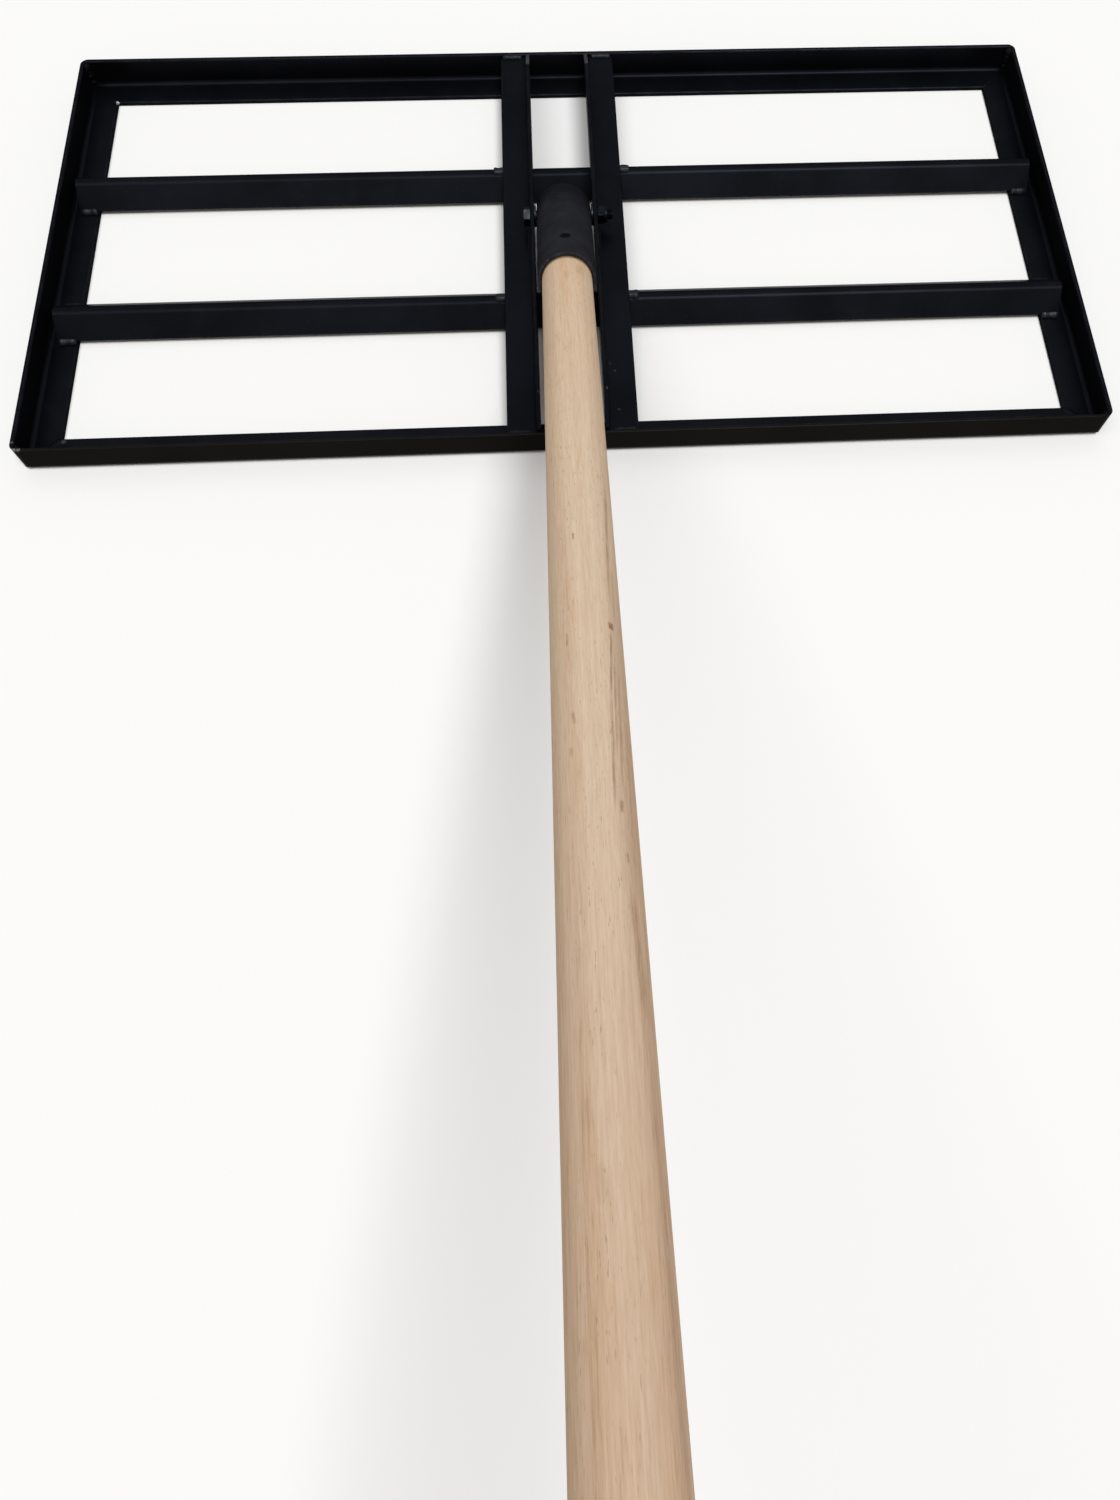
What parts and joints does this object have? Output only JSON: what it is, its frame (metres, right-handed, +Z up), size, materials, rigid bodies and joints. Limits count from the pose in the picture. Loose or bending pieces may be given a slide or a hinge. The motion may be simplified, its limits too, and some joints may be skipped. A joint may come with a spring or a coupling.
{
  "type": "lawn leveller",
  "caption": "Flat rectangular frame of welded steel angle with inner crossbars; a tube socket swings on a bolt between upright rails and holds a long round wooden handle.",
  "frame": {"origin": "on the ground, under the middle of the near rail", "axes": "+X to the right across the frame, +Y from the user towards the far rail, +Z up"},
  "size_m": [0.8, 1.6108, 0.5785],
  "materials": {
    "powder_coat": "satin blue-black powder coat over steel angle",
    "socket_paint": "matte dark grey paint on a steel tube",
    "zinc": "bright zinc plate",
    "nylon": "blue nylon",
    "black_screw": "black phosphate",
    "wood": "bare sanded light hardwood"
  },
  "bodies": {
    "frame": {"near_rail": "powder_coat", "far_rail": "powder_coat", "left_rail": "powder_coat", "right_rail": "powder_coat", "front_crossbar": "powder_coat", "rear_crossbar": "powder_coat", "left_pivot_rail": "powder_coat", "right_pivot_rail": "powder_coat", "corner_welds": "powder_coat", "front_crossbar_welds": "powder_coat", "rear_crossbar_welds": "powder_coat", "left_pivot_rail_welds": "powder_coat", "right_pivot_rail_welds": "powder_coat", "pivot_bolt": "zinc", "pivot_nut": "zinc", "nut_nylon_ring": "nylon", "left_washer": "zinc", "right_washer": "zinc"},
    "handle": {"handle_socket": "socket_paint", "socket_screw": "black_screw", "handle_shaft": "wood"}
  },
  "joints": [
    {"name": "handle_pivot", "type": "hinge", "parent": "frame", "child": "handle", "pos_m": [0, 0.1825, 0.03599], "axis": [-1, 0, 0], "range_deg": [-13.5, 152]}
  ]
}
